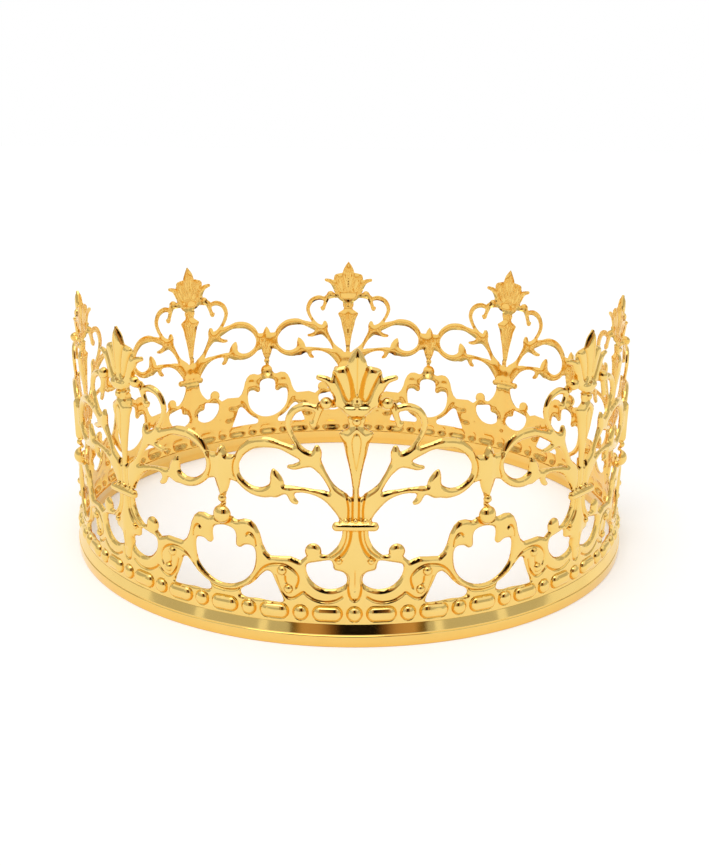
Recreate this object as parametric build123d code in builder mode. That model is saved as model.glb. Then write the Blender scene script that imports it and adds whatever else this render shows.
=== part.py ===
from build123d import *
import os
from math import cos, radians, sin

# Stamped gold crown: one strip of sheet brass, pierced and pressed with scrollwork, closed to a ring,
# its lower edge rolled out to a sloped band and an upright lip.
# Millimetres, +Z up, origin at the centre of the circle that the lip stands on.

# Overall sizes
lip_diameter = 140.0
crown_height = 60.5
motif_count = 8

# Sheet and rim; the strip is bent in narrow flat panels, so many to half a motif
panels_per_half = 2
wall_set_in = 1.4
wall_thickness = 1.2
lip_height = 2.4
lip_step = 0.3
band_height = 2.2
band_ledge = 0.4

# Openwork
strand_width = 1.3
finial_ball_diameter = 2.5
spindle_ball_diameter = 4.2
neck_bead_diameter = 2.0
knob_diameter = 3.3
collar_length = 8.8
collar_height = 1.6

# How far a cutting body runs past what it trims
overrun = 1.0

# Worked out from the sizes above
lip_radius = lip_diameter / 2
wall_outer = lip_radius - wall_set_in
wall_inner = wall_outer - wall_thickness
rim_height = lip_height + band_height
openwork_height = crown_height - rim_height
half_angle = 180 / motif_count
band_foot = lip_radius - lip_step
lip_inner = band_foot - wall_thickness

# Places are shares: across from the motif's centre line (0) to the spindle's axis (1),
# up from the rim (0) to the finial's tip (1). A third number is the strand's width over strand_width.
edge_share = 0.03
curl_shares = [
    (0.132, 0.810, 1.2), (0.364, 0.795, 1.2), (0.450, 0.776, 1.1), (0.479, 0.735, 0.85),
    (0.448, 0.686, 0.8), (0.338, 0.619, 1.1),
]
hook_shares = [(0.233, 0.803, 1.0), (0.290, 0.775, 1.0), (0.329, 0.727, 0)]
scroll_shares = [
    (0.360, 0.620, 1.9), (0.500, 0.648, 1.3), (0.632, 0.664, 1.6), (0.760, 0.654, 1.6), (0.852, 0.614, 1.3),
    (0.893, 0.560, 1.0), (0.853, 0.511, 1.15), (0.760, 0.482, 1.3), (0.650, 0.482, 1.7), (0.520, 0.496, 0.8),
]
scroll_leaf_shares = [(0.600, 0.487, 2.0), (0.572, 0.505, 1.9), (0.603, 0.567, 0)]
branch_shares = [
    (0.060, 0.377, 1.85), (0.082, 0.455, 2.85), (0.160, 0.503, 0.95), (0.232, 0.560, 0.95), (0.287, 0.596, 1.7),
    (0.372, 0.619, 1.7),
]
low_branch_shares = [
    (0.081, 0.401, 1.2), (0.165, 0.454, 1.7), (0.262, 0.486, 0.9), (0.400, 0.499, 0.8), (0.600, 0.488, 1.5),
]
low_leaf_shares = [(0.478, 0.490, 1.4), (0.463, 0.464, 1.05), (0.426, 0.448, 0)]
fork_up_shares = [(0.294, 0.605, 1.7), (0.279, 0.660, 0)]
fork_out_shares = [(0.316, 0.605, 1.8), (0.400, 0.588, 1.1), (0.486, 0.578, 0)]
petal_shares = [(0.155, 0.856, 1.2), (0.207, 0.889, 1.15), (0.274, 0.899, 0)]
rib_shares = [
    (0.064, 0.361, 1.3), (0.080, 0.315, 1.15), (0.132, 0.272, 1.15), (0.199, 0.250, 0.9), (0.300, 0.250, 1.3),
]

# Upright forms, as half widths at heights: (up, half width across)
flower_shares = [
    (0.766, 0.044), (0.786, 0.108), (0.816, 0.153), (0.866, 0.189), (0.915, 0.173), (0.936, 0.120),
    (0.938, 0.066), (0.972, 0.035), (1.0, 0.0),
]
spear_shares = [
    (0.350, 0.030), (0.500, 0.024), (0.580, 0.047), (0.660, 0.087), (0.702, 0.121), (0.731, 0.056), (0.775, 0.064),
]
vase_shares = [(0.250, 0.190), (0.285, 0.090), (0.375, 0.060)]
spindle_shares = [(0.400, 0.022), (0.451, 0.022), (0.492, 0.050), (0.562, 0.063), (0.615, 0.034), (0.642, 0.0)]

# Sheet left between the strands, and the openings pierced in it
side_plate_shares = [(1.0, 0.605), (0.870, 0.605), (0.862, 0.500), (0.938, 0.508), (0.960, 0.478), (1.0, 0.472)]
low_plate_shares = [
    (1.0, 0.380), (0.770, 0.369), (0.713, 0.326), (0.680, 0.270),
    (0.629, 0.243), (0.478, 0.247), (0.401, 0.234), (0.345, 0.262), (0.0, 0.254),
]
kidney_opening_shares = [
    (0.362, 0.200), (0.342, 0.227), (0.184, 0.241), (0.151, 0.206), (0.073, 0.190), (0.068, 0.151), (0.160, 0.130),
    (0.285, 0.138),
]
wedge_opening_shares = [
    (0.636, 0.186), (0.706, 0.167), (0.780, 0.127), (0.862, 0.104), (0.876, 0.080), (0.830, 0.065), (0.546, 0.060),
]
heart_opening_shares = [
    (1.0, 0.110), (0.890, 0.121), (0.795, 0.158), (0.742, 0.232), (0.775, 0.275), (0.868, 0.262),
    (0.903, 0.275), (0.908, 0.318), (1.0, 0.338),
]

# Centres of the round forms
finial_ball_share = (0.211, 0.812)
knob_share = (0.307, 0.272)
collar_share = (0.0, 0.374)
spindle_ball_share = (1.0, 0.386)
neck_bead_share = (1.0, 0.442)
round_sides = 6


def flat(across, up):
    """A place on the wall, seen square on from the middle of the half motif."""
    angle = radians((across - 0.5) * half_angle)
    return Vector(wall_outer * sin(angle), rim_height + up * openwork_height)


def fill(points, mode=Mode.ADD):
    """The closed shape with these corners, in the sketch being drawn."""
    Polygon(*points, align=None, mode=mode)


def strand(shares):
    """A flat strand that follows its centre line; a width of 0 is a pointed tip."""
    line = [flat(across, up) for across, up, _ in shares]
    near, far = [], []
    for index, (_, _, width_share) in enumerate(shares):
        before = line[max(index - 1, 0)]
        after = line[min(index + 1, len(line) - 1)]
        along = (after - before).normalized()
        side = Vector(-along.Y, along.X) * (strand_width * width_share / 2)
        near.append(line[index] + side)
        if width_share:
            far.append(line[index] - side)
    fill(near + far[::-1])


def upright(shares, centre_share):
    """A form that is the same on both sides of the motif's centre line or the spindle's axis."""
    left = [flat(centre_share - half, up) for up, half in shares]
    right = [flat(centre_share + half, up) for up, half in shares if half]
    fill(left + right[::-1])


def disc(diameter, share):
    """A round form at a place on the wall, cut in short straight sides."""
    with Locations(flat(*share)):
        RegularPolygon(diameter / 2, round_sides)


# The plane that cuts the front of the crown through its axis, with the radius along x
section_plane = Plane((0, 0, 0), x_dir=(0, -1, 0), z_dir=(-1, 0, 0))

# Half a motif, from its centre line to the spindle's axis
middle_plane = Plane((0, 0, 0), x_dir=(1, 0, 0), z_dir=(0, -1, 0)).rotated((0, 0, half_angle / 2))
with BuildPart() as half_motif:
    with BuildSketch(middle_plane.offset(wall_inner * cos(radians(half_angle / 2)) - overrun)):
        for path_shares in (
            curl_shares, hook_shares, scroll_shares, scroll_leaf_shares, branch_shares,
            low_branch_shares, low_leaf_shares, fork_up_shares, fork_out_shares, petal_shares, rib_shares,
        ):
            strand(path_shares)
        upright(flower_shares, 0)
        upright(spear_shares, 0)
        upright(vase_shares, 0)
        upright(spindle_shares, 1)
        disc(finial_ball_diameter, finial_ball_share)
        disc(knob_diameter, knob_share)
        disc(neck_bead_diameter, neck_bead_share)
        disc(spindle_ball_diameter, spindle_ball_share)
        with Locations(flat(*collar_share)):
            Rectangle(collar_length, collar_height)
        beyond = flat(1 + edge_share, 0).X
        before = flat(-edge_share, 0).X
        side_plate = [flat(*share) for share in side_plate_shares]
        fill(side_plate + [Vector(beyond, side_plate[-1].Y), Vector(beyond, side_plate[0].Y)])
        low_plate = [flat(*share) for share in low_plate_shares]
        fill(
            [Vector(beyond, rim_height), Vector(beyond, low_plate[0].Y)]
            + low_plate
            + [Vector(before, low_plate[-1].Y), Vector(before, rim_height)]
        )
        for opening_shares in (kidney_opening_shares, wedge_opening_shares):
            fill([flat(*share) for share in opening_shares], mode=Mode.SUBTRACT)
        heart = [flat(*share) for share in heart_opening_shares]
        mirrored_heart = [flat(2 - across, up) for across, up in heart_opening_shares[1:-1]]
        fill(heart + mirrored_heart[::-1], mode=Mode.SUBTRACT)
    extrude(amount=wall_thickness + wall_outer * (1 - cos(radians(half_angle / 2))) + 2 * overrun)
    with BuildSketch(Plane.XY.offset(rim_height)):
        folds = [half_angle * step / panels_per_half for step in range(panels_per_half + 1)]
        outer_corners = [Vector(0, -wall_outer).rotate(Axis.Z, fold) for fold in folds]
        inner_corners = [Vector(0, -wall_inner).rotate(Axis.Z, fold) for fold in folds]
        fill(outer_corners + inner_corners[::-1])
    extrude(amount=openwork_height, mode=Mode.INTERSECT)

# The whole crown: the rolled rim, and the motifs side by side on it
with BuildPart() as crown:
    with BuildSketch(section_plane):
        with BuildLine():
            Polyline(
                (wall_inner - band_ledge, rim_height),
                (wall_outer + band_ledge, rim_height),
                (band_foot, lip_height),
                (lip_radius, lip_height),
                (lip_radius, 0),
                (lip_inner, 0),
                (lip_inner, lip_height),
                close=True,
            )
        make_face()
    revolve(axis=Axis.Z)
    with PolarLocations(0, motif_count):
        add(half_motif.part)
        add(mirror(half_motif.part, about=Plane.YZ, mode=Mode.PRIVATE))

os.makedirs("parts", exist_ok=True)
crown.part.label = "crown"
export_step(crown.part, "parts/crown.step")
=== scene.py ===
import math
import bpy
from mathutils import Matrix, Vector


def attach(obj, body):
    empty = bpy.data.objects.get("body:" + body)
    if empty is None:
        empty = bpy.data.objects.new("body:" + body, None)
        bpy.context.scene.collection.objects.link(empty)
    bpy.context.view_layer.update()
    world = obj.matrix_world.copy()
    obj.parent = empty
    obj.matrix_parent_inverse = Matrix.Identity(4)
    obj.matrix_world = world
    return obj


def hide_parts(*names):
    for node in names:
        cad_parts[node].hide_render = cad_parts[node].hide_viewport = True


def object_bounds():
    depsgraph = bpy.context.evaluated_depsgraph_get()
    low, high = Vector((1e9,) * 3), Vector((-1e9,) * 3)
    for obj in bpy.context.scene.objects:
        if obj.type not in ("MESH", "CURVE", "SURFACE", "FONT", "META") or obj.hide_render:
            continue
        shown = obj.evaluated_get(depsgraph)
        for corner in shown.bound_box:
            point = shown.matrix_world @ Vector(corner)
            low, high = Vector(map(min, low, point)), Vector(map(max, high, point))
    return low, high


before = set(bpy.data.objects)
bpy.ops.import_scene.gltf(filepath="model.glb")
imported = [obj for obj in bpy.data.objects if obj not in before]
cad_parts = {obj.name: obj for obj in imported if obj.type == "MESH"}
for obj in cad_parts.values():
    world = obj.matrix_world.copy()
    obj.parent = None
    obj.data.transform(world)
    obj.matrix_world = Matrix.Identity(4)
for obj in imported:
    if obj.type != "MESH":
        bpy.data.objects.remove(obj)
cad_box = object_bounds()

from types import SimpleNamespace

import bpy
import numpy as np
from mathutils import Matrix, Vector
from mathutils.geometry import delaunay_2d_cdt
from mathutils.kdtree import KDTree

# Stamped gold crown. Half of one motif is drawn flat, as a depth inside its pierced outline, and the
# pressed relief is a height over that drawing. The half is meshed, mirrored and bent round the ring.
# Lengths are millimetres: x across from the motif's centre line, z up from the foot of the crown.
# The studio's lengths are metres.

MM = 0.001

# A named group of sizes that belong to one form
Sizes = SimpleNamespace

# Ring, after the solid's box
LIP_RADIUS = round(-cad_box[0].y / MM, 2)
CROWN_HEIGHT = round(cad_box[1].z / MM, 2)
MOTIFS = 8
HALF_TURN = math.pi / MOTIFS
FACE_SET_IN = 1.1
FACE_RADIUS = LIP_RADIUS - FACE_SET_IN
RIM_TOP = 4.6
OPENWORK = CROWN_HEIGHT - RIM_TOP

# Flat drawing: half a motif's length, the strip's foot behind the rim, and room above the finial
SPAN = 27.17
FOOT = 4.3
HEADROOM = 0.7
TOP = CROWN_HEIGHT + HEADROOM

# Sheet, its thinnest place, and the usual width of a strand
SHEET = 0.62
THINNEST = 0.25
STRAND = 1.3

# Spacing of the drawing's grid, and of points on the face, the back, the cut edges and the pressed lines
GRID = 0.1
FRONT_STEP = 0.34
BACK_STEP = 0.5
EDGE_STEP = 0.22
LINE_STEP = 0.24

# Grid lines of the drawing
ACROSS = np.linspace(0, SPAN, int(round(SPAN / GRID)) + 1)
UP = np.linspace(FOOT, TOP, int(round((TOP - FOOT) / GRID)) + 1)

# Depth of a place that no form is near, and how far beside the metal a distance is kept
FAR = 9.0
BESIDE = 3 * GRID

# Places are shares: across from the motif's centre line (0) to the spindle's axis (1), up from the
# rim (0) to the finial's tip (1). A third number is a strand's width over STRAND.
STRANDS = [
    # curl beside the flower, its hook, and the arm that carries both
    [(0.275, 0.789, 0.9), (0.362, 0.797, 1.15), (0.446, 0.779, 1.1), (0.487, 0.739, 0.95),
     (0.469, 0.699, 0.8), (0.415, 0.658, 0.8), (0.338, 0.619, 1.1)],
    [(0.243, 0.803, 1.05), (0.267, 0.780, 1.0), (0.287, 0.755, 0.85), (0.305, 0.733, 0.95),
     (0.322, 0.740, 0.6)],
    [(0.132, 0.810, 1.2), (0.243, 0.803, 1.05), (0.275, 0.790, 0.9)],
    # C-scroll and the leaf at its end
    [(0.360, 0.620, 1.9), (0.460, 0.640, 1.5), (0.544, 0.654, 1.2), (0.632, 0.662, 1.6),
     (0.743, 0.655, 1.6), (0.831, 0.626, 1.4), (0.882, 0.585, 1.05), (0.890, 0.549, 1.0),
     (0.853, 0.512, 1.15), (0.772, 0.485, 1.3), (0.684, 0.479, 1.6), (0.610, 0.489, 1.9),
     (0.550, 0.495, 1.4)],
    [(0.590, 0.490, 2.2), (0.574, 0.515, 2.2), (0.587, 0.543, 1.5), (0.601, 0.563, 0.5)],
    # branch, low branch and their leaves
    [(0.064, 0.377, 1.85), (0.075, 0.426, 2.3), (0.098, 0.461, 2.6), (0.147, 0.496, 1.5),
     (0.184, 0.522, 0.95), (0.232, 0.560, 1.0), (0.287, 0.596, 1.7), (0.342, 0.619, 1.7)],
    [(0.081, 0.401, 1.2), (0.160, 0.458, 1.7), (0.221, 0.481, 1.5), (0.301, 0.492, 0.9),
     (0.386, 0.498, 0.8), (0.474, 0.497, 1.2), (0.559, 0.492, 1.5)],
    [(0.478, 0.490, 1.4), (0.467, 0.470, 1.0), (0.452, 0.458, 0.95), (0.430, 0.451, 0.6)],
    [(0.294, 0.605, 1.7), (0.281, 0.632, 1.5), (0.280, 0.652, 0.9)],
    [(0.316, 0.605, 1.8), (0.382, 0.592, 1.2), (0.441, 0.581, 0.9), (0.482, 0.580, 0.6)],
    # outer petal, rib beside the vase
    [(0.155, 0.856, 1.2), (0.199, 0.886, 1.1), (0.235, 0.894, 0.9), (0.268, 0.898, 0.75)],
    [(0.064, 0.361, 1.3), (0.070, 0.333, 1.15), (0.092, 0.301, 1.15), (0.132, 0.272, 1.15),
     (0.199, 0.250, 0.9), (0.272, 0.249, 1.3)],
]

# Upright forms (flower, spearhead on its stem, vase, spindle): axis, then half widths at heights
UPRIGHTS = [
    (0, [(0.766, 0.044), (0.773, 0.070), (0.784, 0.103), (0.798, 0.129), (0.816, 0.153), (0.839, 0.175),
         (0.866, 0.189), (0.905, 0.175), (0.919, 0.171), (0.930, 0.151), (0.937, 0.096), (0.939, 0.072),
         (0.954, 0.062), (0.972, 0.045), (0.990, 0.020), (1.002, 0.0)]),
    (0, [(0.350, 0.030), (0.490, 0.024), (0.526, 0.029), (0.562, 0.040), (0.597, 0.055), (0.633, 0.074),
         (0.669, 0.090), (0.696, 0.116), (0.708, 0.118), (0.726, 0.063), (0.737, 0.053), (0.751, 0.064),
         (0.775, 0.063)]),
    (0, [(0.240, 0.230), (0.250, 0.190), (0.267, 0.120), (0.301, 0.075), (0.375, 0.060)]),
    (1, [(0.400, 0.020), (0.451, 0.022), (0.472, 0.040), (0.508, 0.055), (0.562, 0.063), (0.605, 0.042),
         (0.626, 0.026), (0.642, 0.0)]),
]

# Sheet between the strands: above the collar, beside the spindle, and above the rim
PLATES = [
    [(-0.1, 0.36), (0.076, 0.36), (0.084, 0.476), (-0.1, 0.476)],
    [(1.1, 0.605), (0.880, 0.605), (0.870, 0.562), (0.862, 0.505), (0.934, 0.512), (0.956, 0.481),
     (1.1, 0.472)],
    [(1.1, -0.05), (1.1, 0.390), (0.945, 0.384), (0.912, 0.367), (0.885, 0.364), (0.831, 0.372),
     (0.779, 0.369), (0.743, 0.354), (0.713, 0.326), (0.691, 0.286), (0.665, 0.259), (0.629, 0.243),
     (0.544, 0.245), (0.478, 0.247), (0.401, 0.234), (0.345, 0.258), (0.202, 0.254), (-0.1, 0.254),
     (-0.1, -0.05)],
]

# Openings pierced in the sheet: kidney, wedge and heart
OPENINGS = [
    [(0.360, 0.208), (0.346, 0.225), (0.279, 0.233), (0.188, 0.241), (0.165, 0.231), (0.151, 0.206),
     (0.088, 0.197), (0.061, 0.179), (0.066, 0.152), (0.125, 0.134), (0.195, 0.129), (0.268, 0.138),
     (0.324, 0.161), (0.353, 0.186)],
    [(0.658, 0.184), (0.702, 0.168), (0.750, 0.141), (0.801, 0.120), (0.857, 0.104), (0.875, 0.088),
     (0.846, 0.073), (0.717, 0.072), (0.551, 0.069), (0.537, 0.083), (0.559, 0.109), (0.596, 0.150),
     (0.621, 0.177)],
    [(1.0, 0.110), (0.934, 0.114), (0.871, 0.127), (0.816, 0.147), (0.772, 0.174), (0.750, 0.208),
     (0.746, 0.250), (0.768, 0.272), (0.824, 0.274), (0.868, 0.262), (0.901, 0.270), (0.901, 0.308),
     (0.926, 0.329), (1.0, 0.338), (1.074, 0.329), (1.099, 0.308), (1.099, 0.270), (1.132, 0.262),
     (1.176, 0.274), (1.232, 0.272), (1.254, 0.250), (1.250, 0.208), (1.228, 0.174), (1.184, 0.147),
     (1.129, 0.127), (1.066, 0.114)],
]

# How softly the inner corners are rounded where forms meet
FILLET = Sizes(strand=0.5, upright=0.3, plate=0.4, ball=0.25, collar=0.2, opening=0.3)

# Round forms: across, height, radius
FINIAL_BALL = (5.75, 50.0, 1.2)
KNOB = (8.35, 19.8, 1.65)
SPINDLE_BALL = (SPAN, 26.0, 1.9)
NECK_BEAD = (SPAN, 29.3, 0.85)

# Balls on the strands, then the small beads of volute, spearhead, stems and vase: form, rise, how far sunk
ROUNDS = [
    (FINIAL_BALL, 1.4, 0.5), (SPINDLE_BALL, 1.8, 0.5), (NECK_BEAD, 1.0, 0.5),
    ((14.6, 15.5, 0.85), 0.75, 0.1), ((13.3, 11.7, 0.85), 0.75, 0.1), ((0.0, 46.6, 0.8), 0.8, 0.15),
    ((1.9, 26.6, 0.5), 0.6, 0.1), ((0.0, 26.6, 0.5), 0.6, 0.1), ((3.2, 18.2, 0.6), 0.6, 0.1),
]

# Bead row above the rim: every second bead is stretched to both sides
ROW = Sizes(count=6, pitch=5.44, height=6.75, half_height=1.5, half_width=1.45, stretch=1.45, rise=1.15,
            sunk=0.2)

# In radii of any bead: where its dome ends, how steep it falls off there, and the ring pressed round it
BEAD_EDGE = Sizes(reach=1.04, slope=3)
BEAD_RING = Sizes(reach=1.05, width=0.09)

# Half-round collar across the bundle of stems, between two heights; its edge is in radii
COLLAR_LOW = 24.6
COLLAR_HIGH = 26.4
COLLAR = Sizes(height=(COLLAR_LOW + COLLAR_HIGH) / 2, radius=(COLLAR_HIGH - COLLAR_LOW) / 2, straight=3.65,
               edge=1.06, rise=1.05, sunk=0.15)

# Cut edges are rolled down over a width; the outermost part stays crisp, and beside the row they lie flatter
EDGE = Sizes(width=0.9, drop=0.68, crisp=0.15, blend=0.45)
ROW_SIDE = Sizes(height=8.9, run=0.5, flatter=0.65)

# Softening radius of the ridges between rolled edges, and of the hollow back
EDGE_SOFT = 0.22
BACK_SOFT = 0.5

# Spearhead's raised facet, and the sharp ridges of the spindle and the bud
SPEAR_FACET = [(0.0, 45.7), (2.15, 43.9), (1.2, 40.2), (0.0, 36.6), (-1.2, 40.2), (-2.15, 43.9)]
FACET = Sizes(rise=0.42, bank=0.8)
SPINDLE_RIDGE = Sizes(heights=(30, 36, 40.4), half_widths=(0.6, 1.7, 0.4), rise=0.6, fade=1.5)
BUD_RIDGE = Sizes(heights=(51, 57.6, 60.6), half_widths=(0.35, 1.5, 0.7), rise=0.55, foot=50.6, fade=1.0)

# Cup under the petals: its lip with a cusp on the axis, its foot and its sides
CUP = Sizes(lip=49.3, cusp_rise=1.2, cusp_width=0.24, rise=0.5, bank=0.7, half_width=2.9, side_fade=0.9,
            foot=47.2, foot_fade=0.8)

# Spade leaf between the vase's ribs, the lobe below it and the dimple in that
LEAF = Sizes(height=16.8, half_width=1.7, half_height=3.2, rise=0.4)
LOBE = Sizes(foot=9.9, foot_fade=0.8, top=16.5, top_fade=2.0, half_width=0.8, rise=0.3)
DIMPLE = Sizes(height=12.2, radius=0.4, depth=0.3)

# Pressed lines: width, depth, course
CREASES = [
    # round the volute and below the heart-shaped ring
    (0.22, 0.4, [(11.8, 12.0), (11.3, 13.3), (11.4, 14.7), (12.6, 16.1), (14.5, 16.85), (17.0, 16.6),
                 (18.6, 15.6), (20.1, 13.7), (21.8, 11.5), (24.6, 10.1), (27.2, 9.7)]),
    (0.22, 0.4, [(14.0, 14.3), (13.9, 13.2), (13.5, 12.5)]),
    # from the volute along the scalloped foot of the plate
    (0.22, 0.4, [(15.9, 14.2), (15.0, 11.5), (14.0, 10.1), (13.0, 9.7), (11.8, 10.1), (10.3, 11.2),
                 (9.5, 10.6), (8.0, 9.7), (6.0, 9.25), (4.0, 9.6), (2.4, 10.5)]),
    # lobe at the foot of the motif
    (0.22, 0.4, [(1.5, 15.0), (1.3, 12.0), (0.9, 10.3), (0.0, 9.6)]),
    # comma in the ring's upper volute
    (0.22, 0.4, [(22.0, 22.3), (21.5, 22.8), (20.8, 22.6), (20.2, 21.6), (20.0, 20.3)]),
    # inside of the vase's ribs
    (0.28, 0.5, [(0.85, 24.6), (0.95, 23.0), (1.4, 21.3), (2.4, 19.6), (3.9, 18.2)]),
    # outside of the vase's ribs
    (0.2, 0.3, [(1.7, 24.5), (1.8, 23.0), (2.2, 21.6), (3.2, 20.1), (4.8, 18.9)]),
    # neck between the finial's ball and its curl
    (0.2, 0.3, [(6.9, 50.0), (7.3, 49.5), (7.4, 48.8)]),
    # where the C-scroll lies on the side plate
    (0.22, 0.4, [(24.1, 38.3), (24.6, 36.6), (24.6, 35.0), (24.0, 33.4)]),
    # groove that runs down beside the bud, round the petal's foot and up its other side
    (0.34, 0.48, [(1.95, 56.6), (1.35, 54.7), (1.0, 53.0), (0.88, 51.5), (1.1, 50.6), (1.5, 50.3),
                  (1.95, 50.6), (2.5, 51.6), (3.05, 53.0), (3.6, 54.2), (4.35, 55.6)]),
    # stems bundled in the collar
    (0.2, 0.4, [(0.62, 26.7), (0.62, 33.0)]),
    (0.2, 0.4, [(1.45, 26.7), (1.42, 29.0), (1.65, 30.8), (1.9, 33.0)]),
    # foot of the flower's cup
    (0.2, 0.35, [(4.75, 51.6), (4.45, 50.2), (3.6, 48.7), (2.4, 47.75), (1.2, 47.4), (0.0, 47.4)]),
    # down from the spade leaf's tip
    (0.14, 0.2, [(0.0, 16.4), (0.0, 12.9)]),
    # line up the bud
    (0.18, 0.25, [(0.0, 52.0), (0.0, 60.1)]),
    # teardrop sunk in the spearhead
    (0.17, 0.2, [(0.0, 44.4), (0.5, 43.9), (0.85, 42.6), (0.7, 40.8), (0.4, 39.0), (0.06, 37.2)]),
]

# Share of painted shade, a deeper orange gold painted where the gold would mirror itself and lie in shade:
# along the cut edges, in the pressed lines, under the row, round the balls and on the back, with the width or
# reach that each has
PAINTED_SHADE = Sizes(edge=0.4, edge_width=0.5, edge_fade=1.5, line=0.85, line_width_share=0.7, row=0.75,
             row_reach=1.03, row_width=0.09, row_top=1.1, row_fade=1.5, ball=0.6, ball_reach=1.05,
             ball_width=0.12, back=0.3)

# Section of the rolled rim, set in from the lip's face, height and share of painted shade (deeper gold
# painted at its corners and foot): sloped mirror band, upright lip, hollow back
RIM_SECTION = [
    (2.1, 4.5, 0.3), (1.2, 4.62, 0.8), (1.08, 4.54, 0.6), (1.02, 4.42, 0.0), (1.0, 4.38, 0.0),
    (0.99, 4.355, 0.0), (0.22, 2.735, 0.0), (0.21, 2.71, 0.0), (0.19, 2.66, 0.0), (0.2, 2.5, 0.6),
    (0.12, 2.43, 0.3), (0.03, 2.36, 0.0), (0.0, 2.2, 0.2), (0.0, 2.1, 0.2), (0.0, 1.0, 0.3),
    (0.02, 0.3, 0.5), (0.08, 0.1, 0.8), (0.2, 0.0, 0.8), (0.8, 0.0, 0.3), (1.1, 0.08, 0.3),
    (1.25, 0.25, 0.3), (1.3, 0.5, 0.4), (1.3, 2.0, 0.5), (1.38, 2.25, 0.3), (1.9, 4.0, 0.1),
    (2.08, 4.3, 0.3),
]
RIM_STEPS = 288

# Rows of points inside an outline, in steps: first row, row height, offset of every second row, and
# room kept to the spindle's axis, to the cut edges and to points already set
FILL = Sizes(first=0.8, row=0.866, offset=0.5, axis=0.4, edge=0.45, extra=0.55)

# Points along the forms: banks of a line in widths, banks of the cup's lip, rings of a bead in radii,
# and room kept to the two axes, to the cut edges and to points already set
LINE_BANKS = (0, 0.5, -0.5, 1.1, -1.1, 1.9, -1.9)
LIP_BANKS = (0, 0.12, -0.12, 0.24, -0.24, 0.36, -0.36)
BEAD_RINGS = (0.98, 0.9, 1.05, 1.16, 0.72)
RING_POINTS = 48
ROOM = Sizes(axis=0.1, edge=0.15, point=0.085)

# Limits for what counts as no length, as the same place in the drawing, and as one point of a mesh
NO_LENGTH = 1e-12
SAME_PLACE = 1e-6
SAME_POINT = 1e-7

# A place on the last grid line is looked up in the cell before it
LAST_CELL = 1.001

# Least share of metal round a place that a softened height is divided by, and least spans of a line
LEAST_METAL = 0.05
LEAST_SPANS = 3

# Steepest turn that is still shaded smooth, in degrees
SMOOTH_TURN = 52

# Studio: the white sweep, its daylight, and the cards that only the gold mirrors; the grey flag stands in
# front, and narrower ones stand turned round the crown to both sides. Angles are degrees.
SWEEP_WIDTH = 40
SWEEP_GLOW = 0.17
SKY = Sizes(bounced=0.55, seen=1.0)
DAYLIGHT = Sizes(elevation=65, azimuth=-20, spread=50, strength=1.57)
CARD_AIM = (0, 0, 0.03)
DARK_FLAG = Sizes(colour="#140C08", size=(0.25, 0.225), spot=(0.011, -0.257, 0.161))
DARK_BANDS = [(0.25, DARK_FLAG.colour), (0.37, "#74502F"), (0.54, "#BC946A"), (0.8, "#C8A074"),
              (0.9, "#846838"), (0.99, "#5C4A1E")]
GREY_FLAG = Sizes(colour="#C8C8C8", size=(0.36, 0.5), front_size=(1.1, 0.5), spot=(0, -0.9, 0.36))
GREY_TURNS = (45, 70, 95, 120)
SOFTBOX = Sizes(colour="#FFFFFF", size=(0.5, 0.35), spot=(-0.1, -0.22, 0.75), strength=2.6)

# Camera: lens and sensor height, the place it looks at, its distance, and its angles in degrees
CAMERA = Sizes(lens=40.15, sensor=36, nearest=0.01, aim=(1.05, 0, 23.9), distance=252.97, pitch=16.574,
               yaw=-1.211, roll=0.649)


# Curves and depths on the flat drawing


def place(across, up):
    """A share place in millimetres on the flat strip."""
    return across * SPAN, RIM_TOP + up * OPENWORK


def smooth(points, closed=False, steps=7):
    """A curve through the points, with any further columns carried along."""
    points = np.array(points, float)
    if closed:
        ring = np.vstack([points[-1:], points, points[:2]])
    else:
        ring = np.vstack([2 * points[0] - points[1], points, 2 * points[-1] - points[-2]])
    t = np.linspace(0, 1, steps, endpoint=False)[:, None]
    spans = []
    for a, b, c, d in zip(ring[:-3], ring[1:-2], ring[2:-1], ring[3:]):
        square = 2 * a - 5 * b + 4 * c - d
        cube = 3 * b - a - 3 * c + d
        spans.append(0.5 * (2 * b + (c - a) * t + square * t**2 + cube * t**3))
    if not closed:
        spans.append(points[-1:])
    return np.vstack(spans)


def along_straight(x, z, start, end):
    """Share of the way from start to end that is nearest to each place, and the distance from there."""
    run, rise = end[0] - start[0], end[1] - start[1]
    ahead = (x - start[0]) * run + (z - start[1]) * rise
    share = np.clip(ahead / max(run * run + rise * rise, NO_LENGTH), 0, 1)
    return share, np.hypot(x - start[0] - share * run, z - start[1] - share * rise)


def path_reach(x, z, path):
    """How far each place lies inside a path that has a half width at each point; negative outside."""
    reach = np.full(x.shape, -FAR)
    for start, end in zip(path[:-1], path[1:]):
        share, distance = along_straight(x, z, start, end)
        reach = np.maximum(reach, start[2] + (end[2] - start[2]) * share - distance)
    return reach


def outline_depth(x, z, outline):
    """How far each place lies inside a closed outline; negative outside."""
    inside = np.zeros(x.shape, bool)
    nearest = np.full(x.shape, FAR)
    for start, end in zip(outline, np.roll(outline, -1, axis=0)):
        nearest = np.minimum(nearest, along_straight(x, z, start, end)[1])
        if start[1] != end[1]:
            border = start[0] + (end[0] - start[0]) * (z - start[1]) / (end[1] - start[1])
            inside ^= ((start[1] > z) != (end[1] > z)) & (x < border)
    return np.where(inside, nearest, -nearest)


def join(a, b, soft):
    """Union of two depths, with the inner corner rounded."""
    return np.maximum(a, b) + soft / 4 * np.clip(1 - np.abs(a - b) / soft, 0, None) ** 2


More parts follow.
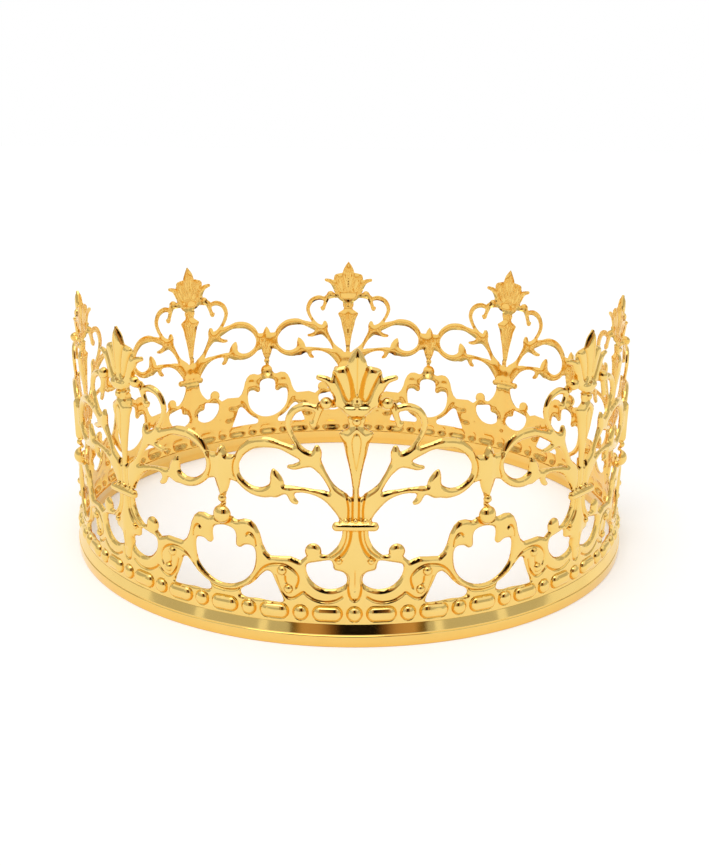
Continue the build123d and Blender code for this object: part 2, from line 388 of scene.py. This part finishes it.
def strip_depth(x, z):
    """Depth inside the pierced strip, positive on the metal."""
    depth = np.full(x.shape, -FAR)
    for shares in STRANDS:
        path = smooth([(*place(across, up), width * STRAND / 2) for across, up, width in shares])
        depth = join(depth, path_reach(x, z, path), FILLET.strand)
    for axis, shares in UPRIGHTS:
        side = smooth([place(axis + half, up) for up, half in shares])
        other_side = side * (-1, 1) + (2 * axis * SPAN, 0)
        depth = join(depth, outline_depth(x, z, np.vstack([side, other_side[::-1]])), FILLET.upright)
    for shares in PLATES:
        plate = np.array([place(*share) for share in shares])
        depth = join(depth, outline_depth(x, z, plate), FILLET.plate)
    for ball in (FINIAL_BALL, KNOB, SPINDLE_BALL, NECK_BEAD):
        depth = join(depth, ball[2] - np.hypot(x - ball[0], z - ball[1]), FILLET.ball)
    bar = [(across, COLLAR.height, COLLAR.radius) for across in (0, COLLAR.straight)]
    depth = join(depth, path_reach(x, z, bar), FILLET.collar)
    for shares in OPENINGS:
        opening = smooth([place(*share) for share in shares], closed=True, steps=5)
        depth = -join(-depth, outline_depth(x, z, opening), FILLET.opening)
    return depth


# Pressed relief


def dome(distance, radius):
    """Round top, 1 in the middle and 0 from the radius outwards."""
    return np.sqrt(np.clip(1 - (distance / radius) ** 2, 0, None))


def swell(distance):
    """Soft hump, 1 in the middle and almost nothing from twice its half width (1) outwards."""
    return np.exp(-(distance ** 2))


def ease(share):
    """A soft step from 0 to 1."""
    share = np.clip(share, 0, 1)
    return share * share * (3 - 2 * share)


def bank(depth, width):
    """A soft bank over a line, from 0 outside it to 1 inside."""
    return ease(depth / width + 0.5)


def ridge(off, z, form):
    """A sharp ridge along an axis, 1 on it and 0 from the form's half width outwards."""
    return np.clip(1 - off / np.interp(z, form.heights, form.half_widths), 0, 1)


def bead(height, reach, rise, sunk):
    """A round bead (reach 1 is its edge) in its own pressed ring, with a short slope off its edge."""
    height = height - sunk * swell((reach - BEAD_RING.reach) / BEAD_RING.width)
    slope = BEAD_EDGE.slope * np.clip(reach - BEAD_EDGE.reach, 0, None)
    return np.maximum(height, rise * dome(reach, BEAD_EDGE.reach) - sunk - slope)


def row_reach(x, z, index):
    """How far out a place lies from a bead of the row, 1 at the bead's edge."""
    along = np.clip(np.abs(x - index * ROW.pitch) - index % 2 * ROW.stretch, 0, None)
    return np.hypot(along / ROW.half_width, (z - ROW.height) / ROW.half_height)


def ball_reach(x, z, ball):
    """How far out a place lies from a ball, 1 at the ball's edge."""
    return np.hypot(x - ball[0], z - ball[1]) / ball[2]


def bead_row(x, z, height):
    """Round and oblong beads in turn above the rim."""
    for index in range(ROW.count):
        height = bead(height, row_reach(x, z, index), ROW.rise, ROW.sunk)
    return height


def round_forms(x, z, height):
    """Balls on the strands, and small beads."""
    for ball, rise, sunk in ROUNDS:
        height = bead(height, ball_reach(x, z, ball), rise, sunk)
    return height


def collar(x, z, height):
    """Half-round bar across the stems."""
    off = np.hypot(z - COLLAR.height, np.clip(x - COLLAR.straight, 0, None)) / COLLAR.radius
    return np.where(off < COLLAR.edge, COLLAR.rise * dome(off, COLLAR.edge) - COLLAR.sunk, height)


def spear_and_spindle(x, z, height):
    """Facet on the spearhead, and the spindle's ridge."""
    height = height + FACET.rise * bank(outline_depth(x, z, np.array(SPEAR_FACET)), FACET.bank)
    foot, _, tip = SPINDLE_RIDGE.heights
    faded = ease((tip - z) / SPINDLE_RIDGE.fade) * (z > foot)
    return height + SPINDLE_RIDGE.rise * ridge(SPAN - x, z, SPINDLE_RIDGE) * faded


def cup_lip(x):
    """Height at which the lip of the flower's cup runs, with a cusp on the axis."""
    return CUP.lip + CUP.cusp_rise * swell(x / CUP.cusp_width)


def flower(x, z, height):
    """Bud with a ridge, and the cup's two-lobed lip under the petals."""
    bud = BUD_RIDGE.rise * ridge(x, z, BUD_RIDGE) * ease((z - BUD_RIDGE.foot) / BUD_RIDGE.fade)
    sides = ease((CUP.half_width - x) / CUP.side_fade) * ease((z - CUP.foot) / CUP.foot_fade)
    return height + bud + CUP.rise * bank(cup_lip(x) - z, CUP.bank) * sides


def vase(x, z, height):
    """Spade leaf that swells between the ribs, and the lobe below it with a dimple."""
    leaf = LEAF.rise * swell(x / LEAF.half_width) * swell((z - LEAF.height) / LEAF.half_height)
    ends = ease((z - LOBE.foot) / LOBE.foot_fade) * ease((LOBE.top - z) / LOBE.top_fade)
    lobe = LOBE.rise * swell(x / LOBE.half_width) * ends
    dimple = DIMPLE.depth * swell(np.hypot(x, z - DIMPLE.height) / DIMPLE.radius)
    return height + leaf + lobe - dimple


def pressed_line(x, z, width, course):
    """Cross-section of a pressed line, 1 along its middle."""
    line = smooth(course, steps=5)
    return swell(path_reach(x, z, np.column_stack([line, np.zeros(len(line))])) / width)


def relief(x, z, height):
    """Height of the pressed face over the strip's face, from that of its rolled edges."""
    height = height * (1 - ROW_SIDE.flatter * ease((ROW_SIDE.height - z) / ROW_SIDE.run))
    for form in (spear_and_spindle, flower, vase):
        height = form(x, z, height)
    for width, depth, course in CREASES:
        height = height - depth * pressed_line(x, z, width, course)
    for form in (bead_row, round_forms, collar):
        height = form(x, z, height)
    return height


def painted_shade_tone(x, z, away):
    """Painted shade: how far the gold is painted a deeper orange where it would mirror itself, most in the
    pressed lines, less along the edges, round the balls and under the row, 0 on flats.
    """
    tone = PAINTED_SHADE.edge * np.clip(1 - away / PAINTED_SHADE.edge_width, 0, 1) ** PAINTED_SHADE.edge_fade
    for width, _, course in CREASES:
        tone = np.maximum(tone, PAINTED_SHADE.line * pressed_line(x, z, width * PAINTED_SHADE.line_width_share, course))
    # Painted shade: the ring round each bead of the row is deepened only on its lower side, away from the
    # light from above
    below = ease((ROW.height + PAINTED_SHADE.row_top - z) / PAINTED_SHADE.row_fade)
    for index in range(ROW.count):
        ring = swell((row_reach(x, z, index) - PAINTED_SHADE.row_reach) / PAINTED_SHADE.row_width)
        tone = np.maximum(tone, PAINTED_SHADE.row * below * ring)
    for ball, _, _ in ROUNDS:
        ring = swell((ball_reach(x, z, ball) - PAINTED_SHADE.ball_reach) / PAINTED_SHADE.ball_width)
        tone = np.maximum(tone, PAINTED_SHADE.ball * ring)
    return tone


# Work on the drawing's grid


def grid_lookup(grid, points):
    """The grid's values at places between its lines."""
    i = np.clip((points[:, 0] - ACROSS[0]) / (ACROSS[1] - ACROSS[0]), 0, len(ACROSS) - LAST_CELL)
    j = np.clip((points[:, 1] - UP[0]) / (UP[1] - UP[0]), 0, len(UP) - LAST_CELL)
    a, b = i.astype(int), j.astype(int)
    u, v = i - a, j - b
    low = grid[a, b] * (1 - u) + grid[a + 1, b] * u
    high = grid[a, b + 1] * (1 - u) + grid[a + 1, b + 1] * u
    return low * (1 - v) + high * v


def outline_lines(field):
    """The lines where the depth is zero: each a chain of points, and whether it is closed."""
    metal = field > 0
    crossing = {}
    links = {}

    def cross(one, two):
        """Notes where the outline crosses the grid line between two corners, and gives that place's key."""
        share = field[one] / (field[one] - field[two])
        crossing[one, two] = (ACROSS[one[0]] + share * (ACROSS[two[0]] - ACROSS[one[0]]),
                              UP[one[1]] + share * (UP[two[1]] - UP[one[1]]))
        return one, two

    corners = metal[:-1, :-1].astype(int) + metal[1:, :-1] + metal[:-1, 1:] + metal[1:, 1:]
    for i, j in np.argwhere((corners > 0) & (corners < 4)).tolist():
        a, b, c, d = (i, j), (i + 1, j), (i + 1, j + 1), (i, j + 1)
        cuts = [cross(one, two) for one, two in ((a, b), (b, c), (d, c), (a, d)) if metal[one] != metal[two]]
        if len(cuts) == 4 and metal[a]:
            cuts = [cuts[0], cuts[3], cuts[1], cuts[2]]
        for one, two in zip(cuts[::2], cuts[1::2]):
            links.setdefault(one, []).append(two)
            links.setdefault(two, []).append(one)
    lines = []
    left = set(links)
    for start in [key for key in links if len(links[key]) == 1] + list(links):
        if start in left:
            chain = [start]
            left.discard(start)
            while onward := [key for key in links[chain[-1]] if key in left]:
                chain.append(onward[0])
                left.discard(onward[0])
            lines.append((np.array([crossing[key] for key in chain]), len(links[start]) == 2))
    return lines


def respace(line, closed, step):
    """The line with points a step apart; an open line keeps its ends."""
    if closed:
        line = np.vstack([line, line[:1]])
    run = np.concatenate([[0], np.cumsum(np.hypot(*np.diff(line, axis=0).T))])
    number = max(int(round(run[-1] / step)), LEAST_SPANS)
    at = np.linspace(0, run[-1], number + 1)
    spaced = np.column_stack([np.interp(at, run, line[:, column]) for column in (0, 1)])
    return spaced[:-1] if closed else spaced


def edge_distance(field):
    """Distance of every grid place from the nearest cut edge, negative beside the metal."""
    marks = np.vstack([respace(line, closed, GRID) for line, closed in outline_lines(field)])
    tree = KDTree(len(marks))
    for index, (x, z) in enumerate(marks):
        tree.insert((x, z, 0), index)
    tree.balance()
    away = np.full(field.shape, -BESIDE)
    for i, j in np.argwhere(field > -BESIDE):
        away[i, j] = math.copysign(tree.find((ACROSS[i], UP[j], 0))[2], field[i, j])
    return away


def blur(grid, radius):
    """The grid softened over a radius, mirrored at its borders."""
    reach = int(3 * radius / GRID)
    weights = np.exp(-0.5 * (np.arange(-reach, reach + 1) * GRID / radius) ** 2)
    for axis in (0, 1):
        margins = [(reach, reach) if axis == side else (0, 0) for side in (0, 1)]
        wide = np.pad(grid, margins, mode="reflect")
        grid = np.apply_along_axis(np.convolve, axis, wide, weights / weights.sum(), "valid")
    return grid


def soften(height, away, radius):
    """A height on the metal with its ridges and creases softened."""
    metal = (away > 0).astype(float)
    return blur(height * metal, radius) / np.maximum(blur(metal, radius), LEAST_METAL)


def rolled_edges(away):
    """Height of the strip where its cut edges are rolled down, with soft ridges along the narrow strands."""
    drop = -EDGE.drop * (1 - np.clip(away, -BESIDE, EDGE.width) / EDGE.width) ** 2
    inward = ease((away - EDGE.crisp) / EDGE.blend)
    return drop * (1 - inward) + soften(drop, away, EDGE_SOFT) * inward


# Mesh of half a motif


def strip_outline(field):
    """Points and edges of the half motif's outline, with its two symmetry lines and its foot."""
    points, edges, ends = [], [], ([], [])

    def straight(first, last):
        """Adds points and edges on the straight line between two points of the outline."""
        start, end = points[first], points[last]
        number = max(int(round(math.dist(start, end) / FRONT_STEP)), 1)
        for step in range(1, number):
            points.append(tuple(a + (b - a) * step / number for a, b in zip(start, end)))
            edges.append((first, len(points) - 1))
            first = len(points) - 1
        edges.append((first, last))

    for line, closed in outline_lines(field):
        spaced = respace(line, closed, EDGE_STEP)
        first, last = len(points), len(points) + len(spaced) - 1
        points += [tuple(point) for point in spaced]
        edges += [(index, index + 1) for index in range(first, last)]
        if closed:
            edges.append((last, first))
        else:
            for index in (first, last):
                side = int(points[index][0] > SPAN / 2)
                points[index] = (side * SPAN, points[index][1])
                ends[side].append(index)
    corners = []
    for side in (0, 1):
        corners.append(len(points))
        points.append((side * SPAN, FOOT))
        marks = sorted([corners[side]] + ends[side], key=lambda index: points[index][1])
        for low, high in zip(marks[::2], marks[1::2]):
            straight(low, high)
    straight(*corners)
    return np.array(points), edges


def apart(points, others, gap):
    """The points that lie farther than a gap from all the others."""
    clear = [np.hypot(*(others - point).T).min(initial=np.inf) > gap for point in points]
    return points[np.array(clear, bool)]


def form_points(field):
    """Points on the metal along the pressed lines and the cup's lip, on their banks, and round the beads."""
    lines = []
    for off in LINE_BANKS:
        for width, _, course in CREASES:
            line = respace(smooth(course), False, LINE_STEP)
            along = np.gradient(line, axis=0)
            along /= np.hypot(*along.T)[:, None]
            lines.append(line + np.column_stack([-along[:, 1], along[:, 0]]) * width * off)
    across = np.arange(LINE_STEP, CUP.half_width, LINE_STEP)
    lines += [np.column_stack([across, cup_lip(across) + off]) for off in LIP_BANKS]
    turn = np.linspace(0, 2 * math.pi, RING_POINTS, endpoint=False)
    circle = np.column_stack([np.cos(turn), np.sin(turn)])
    for reach in BEAD_RINGS:
        for index in range(ROW.count):
            ring = circle * (ROW.half_width, ROW.half_height) * reach
            ring[:, 0] += np.sign(circle[:, 0]) * (index % 2) * ROW.stretch
            lines.append(respace(ring + (index * ROW.pitch, ROW.height), True, LINE_STEP))
        for (ball_across, ball_height, radius), _, _ in ROUNDS:
            lines.append(respace(circle * radius * reach + (ball_across, ball_height), True, LINE_STEP))
    kept = np.empty((0, 2))
    for line in lines:
        between_axes = (line[:, 0] > ROOM.axis) & (line[:, 0] < SPAN - ROOM.axis)
        line = line[between_axes & (grid_lookup(field, line) > ROOM.edge)]
        kept = np.vstack([kept, apart(line, kept, ROOM.point)])
    return kept


def fill_outline(outline, edges, field, step, extra):
    """Points and triangles over the half motif: first the outline's points, then rows, then extra points."""
    rows = []
    for number, z in enumerate(np.arange(FOOT + step * FILL.first, TOP, step * FILL.row)):
        start = step * (FILL.offset if number % 2 else 1)
        across = np.arange(start, SPAN - step * FILL.axis, step)
        rows.append(np.column_stack([across, np.full(len(across), z)]))
    inner = np.vstack(rows)
    inner = apart(inner[grid_lookup(field, inner) > step * FILL.edge], extra, step * FILL.extra)
    given = [Vector(point) for point in np.vstack([outline, inner, extra])]
    spots, _, faces, _, _, _ = delaunay_2d_cdt(given, edges, [], 0, SAME_POINT, True)
    spots, tris = np.array(spots), np.array(faces)
    return spots, tris[grid_lookup(field, spots[tris].mean(axis=1)) > 0]


def cut_walls(front, tris):
    """Faces of the cuts between front and back, those on the spindle's axis apart, and the cuts' edges.

    The back's outline has the front's numbers, shifted by the number of the front's points.
    """
    shift = len(front)
    sides = [tuple(side) for side in np.vstack([tris[:, [0, 1]], tris[:, [1, 2]], tris[:, [2, 0]]]).tolist()]
    known = set(sides)
    on_centre_line = np.abs(front[:, 0]) < SAME_PLACE
    on_spindle = np.abs(front[:, 0] - SPAN) < SAME_PLACE
    walls, seam, sharp = [], [], []
    for start, end in sides:
        if (end, start) in known:
            continue
        wall = [(start, start + shift, end + shift), (start, end + shift, end)]
        if on_spindle[start] and on_spindle[end]:
            seam += wall
        elif not (on_centre_line[start] and on_centre_line[end]):
            walls += wall
            sharp += [(start, end), (start + shift, end + shift)]
    return np.array(walls), np.array(seam), np.array(sharp)


def half_motif():
    """Half a motif: its points (across, height, radius, painted shade), faces, the cut at the spindle, sharp
    edges.
    """
    x, z = np.meshgrid(ACROSS, UP, indexing="ij")
    field = strip_depth(x, z)
    away = edge_distance(field)
    rolled = rolled_edges(away)
    pressed = relief(x, z, rolled)
    inside = np.minimum(soften(pressed, away, BACK_SOFT) - SHEET, pressed - THINNEST)
    outline, edges = strip_outline(field)
    no_points = np.empty((0, 2))
    front, front_tris = fill_outline(outline, edges, field, FRONT_STEP, form_points(field))
    back, back_tris = fill_outline(outline, edges, field, BACK_STEP, no_points)
    face = FACE_RADIUS + relief(front[:, 0], front[:, 1], grid_lookup(rolled, front))
    hollow = FACE_RADIUS + grid_lookup(inside, back)
    cut = slice(len(outline))
    hollow[cut] = np.minimum(hollow[cut], face[cut] - THINNEST)
    tone = painted_shade_tone(front[:, 0], front[:, 1], grid_lookup(away, front))
    front_points = np.column_stack([front, face, tone])
    # Painted shade: the whole hollow back is painted a fixed share deeper orange
    back_points = np.column_stack([back, hollow, np.full(len(back), PAINTED_SHADE.back)])
    walls, seam, sharp = cut_walls(front, front_tris)
    faces = np.vstack([front_tris, back_tris[:, ::-1] + len(front), walls])
    return SimpleNamespace(points=np.vstack([front_points, back_points]), faces=faces, seam=seam, sharp=sharp)


# Pieces of the crown


def bend(points, turn, mirrored=False):
    """Points (across, height, radius) bent round the ring, in metres."""
    angle = points[:, 0] / SPAN * HALF_TURN * (-1 if mirrored else 1) + turn
    radius = points[:, 2]
    return np.column_stack([radius * np.sin(angle), -radius * np.cos(angle), points[:, 1]]) * MM


def crown_piece(name, spots, faces, tone, gold, cuts):
    """A gold piece of the crown, smooth but for its cut edges, with the share of painted shade on its points.
    """
    mesh = bpy.data.meshes.new(name)
    mesh.from_pydata(spots.tolist(), [], faces.tolist())
    tones = mesh.attributes.new("painted_shade_tone", "FLOAT", "POINT")
    tones.data.foreach_set("value", tone.astype(np.float32))
    mesh.shade_smooth()
    mesh.set_sharp_from_angle(angle=math.radians(SMOOTH_TURN))
    ends = np.empty(2 * len(mesh.edges), int)
    mesh.edges.foreach_get("vertices", ends)
    sharp = np.empty(len(mesh.edges), bool)
    mesh.edges.foreach_get("use_edge_sharp", sharp)
    edge_keys, cut_keys = (np.sort(pairs, axis=1) @ (len(spots), 1) for pairs in (ends.reshape(-1, 2), cuts))
    mesh.edges.foreach_set("use_edge_sharp", sharp | np.isin(edge_keys, cut_keys))
    mesh.materials.append(gold)
    piece = bpy.data.objects.new(name, mesh)
    bpy.context.scene.collection.objects.link(piece)
    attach(piece, "root")
    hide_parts("crown")


def crown_wall(name, motifs, half, gold):
    """One stretch of the crown's wall, so many motifs, as a single welded mesh closed at both ends."""
    spots, faces, cuts, shift = [], [], [], 0
    for motif in motifs:
        for mirrored in (False, True):
            spots.append(bend(half.points, motif * 2 * HALF_TURN, mirrored))
            at_end = motif == (motifs[0] if mirrored else motifs[-1])
            tris = np.vstack([half.faces, half.seam]) if at_end else half.faces
            faces.append((tris[:, ::-1] if mirrored else tris) + shift)
            cuts.append(half.sharp + shift)
            shift += len(half.points)
    spots = np.vstack(spots)
    keys = np.round(spots / SAME_POINT).astype(np.int64)
    _, first, welded = np.unique(keys, axis=0, return_index=True, return_inverse=True)
    welded = welded.reshape(-1)
    tone = np.tile(half.points[:, 3], 2 * len(motifs))[first]
    crown_piece(name, spots[first], welded[np.vstack(faces)], tone, gold, welded[np.vstack(cuts)])


def crown_rim(name, gold):
    """The rim: its section turned round the axis."""
    set_in, height, tone = np.array(RIM_SECTION).T
    section = np.column_stack([np.zeros(len(set_in)), height, LIP_RADIUS - set_in])
    spots = np.vstack([bend(section, 2 * math.pi * step / RIM_STEPS) for step in range(RIM_STEPS)])
    here = np.arange(len(spots)).reshape(RIM_STEPS, -1)
    onward, there = np.roll(here, -1, axis=1), np.roll(here, -1, axis=0)
    faces = np.stack([here, onward, np.roll(there, -1, axis=1), there], axis=-1).reshape(-1, 4)
    no_cuts = np.empty((0, 2), int)
    crown_piece(name, spots, faces, np.tile(tone, RIM_STEPS), gold, no_cuts)


# Materials


def linear(hex_colour):
    """An sRGB hex value as linear red, green, blue and alpha."""
    parts = [int(hex_colour[start:start + 2], 16) / 255 for start in (1, 3, 5)]
    return tuple(c / 12.92 if c <= 0.04045 else ((c + 0.055) / 1.055) ** 2.4 for c in parts) + (1.0,)


def node(tree, kind, inputs=None, **settings):
    """Adds a node with its settings; an input is a value or another node's output socket."""
    made = tree.nodes.new(kind)
    for key, value in settings.items():
        setattr(made, key, value)
    for key, value in (inputs or {}).items():
        if isinstance(value, bpy.types.NodeSocket):
            tree.links.new(value, made.inputs[key])
        else:
            made.inputs[key].default_value = value
    return made


def fresh_material(name):
    """An empty node material."""
    material = bpy.data.materials.new(name)
    material.use_nodes = True
    material.node_tree.nodes.clear()
    return material


def gold_plate():
    """Bright gold electroplate on stamped brass.

    The eye gets a mirror that is a touch uneven: long waves from pressing in its shape and colour, a
    finer play of gloss from handling, and painted shade: a deeper orange gold painted in the pressed lines,
    along the edges and on the back, where the gold would mirror itself.
    """
    wave_length, wave_depth, handling_length = 6 * MM, 0.4 * MM, 0.8 * MM
    material = fresh_material("gold_electroplate")
    tree = material.node_tree
    where = node(tree, "ShaderNodeTexCoord").outputs["Object"]
    waves = node(tree, "ShaderNodeTexNoise", {"Vector": where, "Scale": 1 / wave_length, "Detail": 2.0})
    fine = node(tree, "ShaderNodeTexNoise", {"Vector": where, "Scale": 1 / handling_length, "Detail": 3.0})
    flats = node(tree, "ShaderNodeMix", {
        "Factor": waves.outputs["Fac"], "A": linear("#EFCB74"), "B": linear("#F5D381")},
        data_type="RGBA")
    # Painted shade: each point's share mixes the gold towards a deeper orange
    press = node(tree, "ShaderNodeAttribute", attribute_name="painted_shade_tone")
    tone = node(tree, "ShaderNodeMix", {
        "Factor": press.outputs["Fac"], "A": flats.outputs["Result"], "B": linear("#EFB548")},
        data_type="RGBA")
    gloss = node(tree, "ShaderNodeMapRange", {"Value": fine.outputs["Fac"], "To Min": 0.05, "To Max": 0.12})
    bump = node(tree, "ShaderNodeBump", {
        "Height": waves.outputs["Fac"], "Strength": 0.03, "Distance": wave_depth})
    skin = node(tree, "ShaderNodeBsdfPrincipled", {
        "Base Color": tone.outputs["Result"], "Metallic": 1.0, "Roughness": gloss.outputs["Result"],
        "Normal": bump.outputs["Normal"]})
    node(tree, "ShaderNodeOutputMaterial", {"Surface": skin.outputs["BSDF"]})
    return material


def seen_outright(tree):
    """1 for what the camera or the gold's mirror sees, 0 for light on its way to a matt surface."""
    path = node(tree, "ShaderNodeLightPath")
    seen = node(tree, "ShaderNodeMath", {0: path.outputs["Is Camera Ray"], 1: path.outputs["Is Glossy Ray"]},
                operation="MAXIMUM")
    return seen.outputs[0]


def floor_paper():
    """White paper sweep: plain matt white that keeps the crown's shadow, with a glow where it is seen."""
    material = fresh_material("white_paper")
    tree = material.node_tree
    matt = node(tree, "ShaderNodeBsdfDiffuse", {"Color": linear("#F2F2F2")})
    glow = node(tree, "ShaderNodeEmission", {"Strength": SWEEP_GLOW})
    both = node(tree, "ShaderNodeAddShader", {0: matt.outputs[0], 1: glow.outputs[0]})
    paper = node(tree, "ShaderNodeMixShader", {
        0: seen_outright(tree), 1: matt.outputs[0], 2: both.outputs[0]})
    node(tree, "ShaderNodeOutputMaterial", {"Surface": paper.outputs[0]})
    return material


def card_glow(name, colour, strength, half_width, bands):
    """A lit card of one colour; bands (share of the half width, colour) shade it to both sides."""
    material = fresh_material(name)
    tree = material.node_tree
    glow = node(tree, "ShaderNodeEmission", {"Color": linear(colour), "Strength": strength})
    if bands:
        where = node(tree, "ShaderNodeTexCoord").outputs["Object"]
        across = node(tree, "ShaderNodeSeparateXYZ", {0: where}).outputs["X"]
        aside = node(tree, "ShaderNodeMath", {0: across}, operation="ABSOLUTE")
        share = node(tree, "ShaderNodeMath", {0: aside.outputs[0], 1: half_width}, operation="DIVIDE")
        ramp = node(tree, "ShaderNodeValToRGB", {0: share.outputs[0]})
        for stop in ramp.color_ramp.elements:
            stop.color = linear(colour)
        for at, band in bands:
            ramp.color_ramp.elements.new(at).color = linear(band)
        tree.links.new(ramp.outputs["Color"], glow.inputs["Color"])
    node(tree, "ShaderNodeOutputMaterial", {"Surface": glow.outputs[0]})
    return material


# Studio and camera


def stage_card(name, material, size, spot, aim):
    """A flat card turned to the aim point, not part of the object."""
    wide, high = size[0] / 2, size[1] / 2
    corners = [(-wide, -high, 0), (wide, -high, 0), (wide, high, 0), (-wide, high, 0)]
    mesh = bpy.data.meshes.new(name)
    mesh.from_pydata(corners, [], [(0, 1, 2, 3)])
    mesh.materials.append(material)
    card = bpy.data.objects.new(name, mesh)
    card.location = spot
    card.rotation_euler = (Vector(aim) - Vector(spot)).to_track_quat("Z", "Y").to_euler()
    bpy.context.scene.collection.objects.link(card)
    return card


def mirrored_card(name, colour, size, spot, strength=1.0, bands=()):
    """A card that only the gold's mirror finish sees, turned to the crown."""
    card = stage_card(name, card_glow(name, colour, strength, size[0] / 2, bands), size, spot, CARD_AIM)
    for ray in ("camera", "diffuse", "transmission", "volume_scatter", "shadow"):
        setattr(card, "visible_" + ray, False)


def white_surround():
    """White all round: full where it is seen, dimmer as light, so that forms keep their shading."""
    world = bpy.data.worlds.new("white_surround")
    world.use_nodes = True
    tree = world.node_tree
    tree.nodes.clear()
    level = node(tree, "ShaderNodeMapRange", {
        "Value": seen_outright(tree), "To Min": SKY.bounced, "To Max": SKY.seen})
    sky = node(tree, "ShaderNodeBackground", {"Color": (1, 1, 1, 1), "Strength": level.outputs["Result"]})
    node(tree, "ShaderNodeOutputWorld", {"Surface": sky.outputs[0]})
    bpy.context.scene.world = world


def soft_daylight():
    """Even daylight from a wide patch of sky, kept out of mirror reflections."""
    sun = bpy.data.lights.new("soft_daylight", "SUN")
    sun.angle = math.radians(DAYLIGHT.spread)
    sun.energy = DAYLIGHT.strength
    lamp = bpy.data.objects.new("soft_daylight", sun)
    lamp.rotation_euler = (math.radians(90 - DAYLIGHT.elevation), 0, math.radians(DAYLIGHT.azimuth))
    lamp.visible_glossy = False
    bpy.context.scene.collection.objects.link(lamp)


def studio():
    """White sweep under soft light, and the cards that the gold mirrors: dark and grey flags, a softbox."""
    stage_card("floor", floor_paper(), (SWEEP_WIDTH, SWEEP_WIDTH), (0, 0, 0), (0, 0, 1))
    white_surround()
    soft_daylight()
    mirrored_card("dark_flag", DARK_FLAG.colour, DARK_FLAG.size, DARK_FLAG.spot, bands=DARK_BANDS)
    for side in (-1, 1):
        for step, turn in enumerate(GREY_TURNS):
            spot = Matrix.Rotation(math.radians(turn) * side, 3, "Z") @ Vector(GREY_FLAG.spot)
            mirrored_card(f"grey_flag_{side}_{step}", GREY_FLAG.colour, GREY_FLAG.size, spot)
    mirrored_card("grey_flag_front", GREY_FLAG.colour, GREY_FLAG.front_size, GREY_FLAG.spot)
    mirrored_card("bright_softbox", SOFTBOX.colour, SOFTBOX.size, SOFTBOX.spot, SOFTBOX.strength)


def camera():
    """The photograph's viewpoint: low from the front, a short lens, a slight roll."""
    lens = bpy.data.cameras.new("camera")
    lens.sensor_fit = "VERTICAL"
    lens.sensor_height = CAMERA.sensor
    lens.lens = CAMERA.lens
    lens.clip_start = CAMERA.nearest
    eye = bpy.data.objects.new("camera", lens)
    aim = Vector(CAMERA.aim) * MM
    pitch = math.radians(CAMERA.pitch)
    away = Vector((0, -math.cos(pitch), math.sin(pitch))) * CAMERA.distance * MM
    turn = Matrix.Rotation(math.radians(CAMERA.yaw), 4, "Z")
    spot = turn @ (aim + away)
    look = (turn @ aim - spot).to_track_quat("-Z", "Y").to_matrix().to_4x4()
    roll = Matrix.Rotation(math.radians(CAMERA.roll), 4, "Z")
    eye.matrix_world = Matrix.Translation(spot) @ look @ roll
    bpy.context.scene.collection.objects.link(eye)
    bpy.context.scene.camera = eye


gold = gold_plate()
half = half_motif()
crown_wall("crown_wall_front", range(-1, 2), half, gold)
crown_wall("crown_wall_right", range(2, 5), half, gold)
crown_wall("crown_wall_left", range(5, 7), half, gold)
crown_rim("crown_rim", gold)
studio()
camera()
bpy.context.scene.view_settings.view_transform = "Standard"
